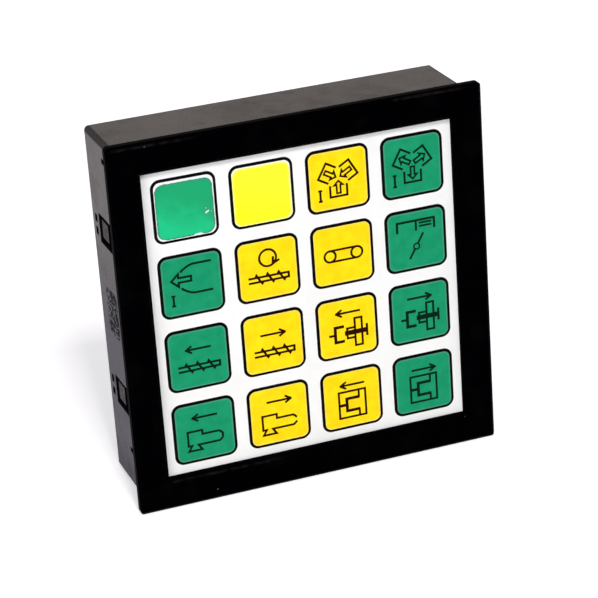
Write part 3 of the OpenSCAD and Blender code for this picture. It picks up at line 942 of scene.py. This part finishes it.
def labelMaterial(name, label):
    made, tree, shader = startMaterial(name, labelFinish["roughness"], labelFinish["gloss"])
    centre = keyCentres[label["key"]]
    place = placeInMillimetres(tree, (centre.x, frontY, centre.y))
    parts = splitPlace(tree, place)
    slope = maths(tree, "ADD", parts["Z"], maths(tree, "MULTIPLY", parts["X"], labelFinish["bandSlope"]))
    clouds = cloudy(tree, place, *labelFinish["bandClouds"])
    drift = maths(tree, "ADD", slope, maths(tree, "MULTIPLY", clouds, labelFinish["bandDrift"]))
    band = between(tree, drift, *labelFinish["bandFrom"])
    colour = mixed(tree, band, tint(*label["main"]), tint(*label["second"]))
    fine = cloudy(tree, place, *labelFinish["fineClouds"])
    inward = addNode(tree, "ShaderNodeAttribute", attribute_name="rim").outputs["Fac"]
    width, ragged = label["edgeWidth"], labelFinish["ragged"]
    reach = maths(tree, "ADD", inward, maths(tree, "MULTIPLY", fine, ragged))
    colour = mixed(tree, between(tree, reach, width + ragged, width / 2), colour, tint(*label["edge"]))
    x, up, radius = label["specks"]
    around = spotMask(tree, place, (x, 0.0, up), radius)
    speck = maths(tree, "MULTIPLY", around, maths(tree, "SUBTRACT", 1.0, fine))
    speck = maths(tree, "MULTIPLY", speck, labelFinish["speckShare"])
    colour = mixed(tree, speck, colour, tint(*label["edge"]))
    tree.links.new(colour, shader.inputs["Base Color"])
    grain(tree, shader, place, *labelFinish["grain"])
    return made


def onFieldDepth(spot):
    return embossedDepth(spot) - labelFinish["thickness"]


def makeLabels():
    for name, label in labels.items():
        finish = labelMaterial(f"{name}_paper", label)
        layers = [(finish, tornEdge(label))]
        width, height, radius = label["width"], label["height"], label["radius"]
        narrower, lower = labelFinish["ringClear"]
        for inset in labelFinish["rings"]:
            inner = roundedSquare(width - 2 * inset - narrower, height - 2 * inset - lower, radius - inset,
                                  label["centre"])
            layers.append((finish, inner))
        layers += [(None, [Vector(corner) for corner in hole]) for hole in label["holes"]]
        centre = keyCentres[label["key"]]
        made = thinPiece(f"{name}_sticker", centre, layers, onFieldDepth, labelFinish["thickness"])
        rim = made.data.attributes.new("rim", "FLOAT", "POINT")  # how far inside the label's edge
        depths = []
        for vertex in made.data.vertices:
            spot = Vector((vertex.co.x, vertex.co.z)) / mm - centre - Vector(label["centre"])
            depths.append(insideBy((spot.x * height / width, spot.y), height, radius))
        rim.data.foreach_set("value", depths)
        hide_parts(name)
        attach(made, "module")
        flattenWith(made)


makeLabels()
print("the labels are made")


# Finishes of the inner pieces, some of which show through the rear cut-out

innerLooks = {
    "adhesive_sheet": {
        "look": "adhesive_film", "main": (222, 216, 198), "second": (212, 205, 184),
        "roughness": 0.6, "gloss": 0.3, "size": 6.0,
    },
    "key_plate": {
        "look": "brushed_plate", "main": (190, 192, 195), "second": (168, 170, 174),
        "roughness": 0.35, "gloss": 0.5, "metal": 1.0, "size": 1.5, "stretch": (0.05, 1, 1),
    },
    "board_standoffs": {
        "look": "turned_brass", "main": (204, 172, 96), "second": (186, 150, 76),
        "roughness": 0.3, "gloss": 0.5, "metal": 1.0, "size": 0.6, "stretch": (1, 0.1, 1),
    },
    "board_screws": {
        "look": "zinc_steel", "main": (186, 190, 194), "second": (160, 164, 170),
        "roughness": 0.32, "gloss": 0.5, "metal": 1.0, "size": 1.0,
    },
    "header_shroud": {
        "look": "black_header_moulding", "main": (26, 27, 29), "second": (36, 37, 39),
        "roughness": 0.5, "gloss": 0.35, "size": 1.5,
    },
    "header_pins": {
        "look": "gold_plating", "main": (226, 188, 96), "second": (206, 164, 74),
        "roughness": 0.25, "gloss": 0.5, "metal": 1.0, "size": 1.0,
    },
    "key_plunger": {
        "look": "ivory_plunger", "main": (230, 225, 212), "second": (220, 213, 196),
        "roughness": 0.45, "gloss": 0.4, "size": 3.0,
    },
}

# Their clouds and grain, which is as fine as that share of the clouds
innerClouds = {"detail": 4, "grainShare": 1 / 8, "grainDetail": 2, "grainDepth": 0.01}


def plainPart(look, main, second, roughness, gloss, size, metal=0.0, stretch=(1, 1, 1)):
    made, tree, shader = startMaterial(look, roughness, gloss, metal)
    place = placeInMillimetres(tree, stretch=stretch)
    colour = mixed(tree, cloudy(tree, place, size, innerClouds["detail"]), tint(*main), tint(*second))
    tree.links.new(colour, shader.inputs["Base Color"])
    fine = size * innerClouds["grainShare"]
    grain(tree, shader, place, fine, innerClouds["grainDetail"], innerClouds["grainDepth"])
    return made


board = {
    "mask": ((32, 92, 48), (40, 104, 56)),  # solder mask over faint straight tracks
    "maskClouds": (5, 3),
    "track": (74, 132, 66),
    "trackCells": (0.39, 0.39, 0.13),  # cells in a millimetre
    "trackWidth": 0.06,  # of a cell
    "trackRise": 0.03,
    "roughness": 0.35,
    "gloss": 0.5,
}


def boardMaterial():
    made, tree, shader = startMaterial("board_mask", board["roughness"], board["gloss"])
    place = placeInMillimetres(tree)
    cells = placeInMillimetres(tree, stretch=board["trackCells"])
    tracks = addNode(tree, "ShaderNodeTexBrick", {
        "Vector": cells, "Scale": 1.0, "Mortar Size": board["trackWidth"],
        "Brick Width": 1.0, "Row Height": 0.5}).outputs["Fac"]
    first, second = board["mask"]
    colour = mixed(tree, cloudy(tree, place, *board["maskClouds"]), tint(*first), tint(*second))
    colour = mixed(tree, tracks, colour, tint(*board["track"]))
    tree.links.new(colour, shader.inputs["Base Color"])
    raised(tree, shader, tracks, board["trackRise"])
    return made


switch = {
    "body": ((30, 31, 33), (40, 41, 43)),
    "bodyClouds": (2.5, 4),
    "lead": (196, 194, 186),  # tinned, behind the front of the board
    "border": 0.02,  # half of the depth over which one turns into the other
    "roughness": 0.45,
    "gloss": 0.4,
    "grain": (0.4, 2, 0.01),
}


def switchMaterial():
    made, tree, shader = startMaterial("switch_moulding", switch["roughness"], switch["gloss"])
    place = placeInMillimetres(tree)
    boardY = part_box("circuit_board")[0].y / mm
    depth = splitPlace(tree, place)["Y"]
    behind = between(tree, depth, boardY - switch["border"], boardY + switch["border"])
    first, second = switch["body"]
    colour = mixed(tree, cloudy(tree, place, *switch["bodyClouds"]), tint(*first), tint(*second))
    colour = mixed(tree, behind, colour, tint(*switch["lead"]))
    tree.links.new(colour, shader.inputs["Base Color"])
    tree.links.new(behind, shader.inputs["Metallic"])
    grain(tree, shader, place, *switch["grain"])
    return made


diode = {"glass": ((176, 74, 38), (206, 104, 52)), "clouds": (1.2, 3), "roughness": 0.15, "gloss": 0.6}


def diodeMaterial():
    made, tree, shader = startMaterial("diode_glass", diode["roughness"], diode["gloss"])
    place = placeInMillimetres(tree)
    first, second = diode["glass"]
    colour = mixed(tree, cloudy(tree, place, *diode["clouds"]), tint(*first), tint(*second))
    tree.links.new(colour, shader.inputs["Base Color"])
    return made


nodeFinishes = {
    "bezel_frame": blackFrameMaterial(),
    "housing_shell": greyHousingMaterial(),
    "circuit_board": boardMaterial(),
    "key_switch": switchMaterial(),
    "matrix_diodes": diodeMaterial(),
}
for name, values in innerLooks.items():
    nodeFinishes[name] = plainPart(**values)
for name, node in nodes.items():
    finish = nodeFinishes.get(name.rstrip("_0123456789"))
    if finish:
        node.data.materials.clear()
        node.data.materials.append(finish)
print("every packed node has its finish")
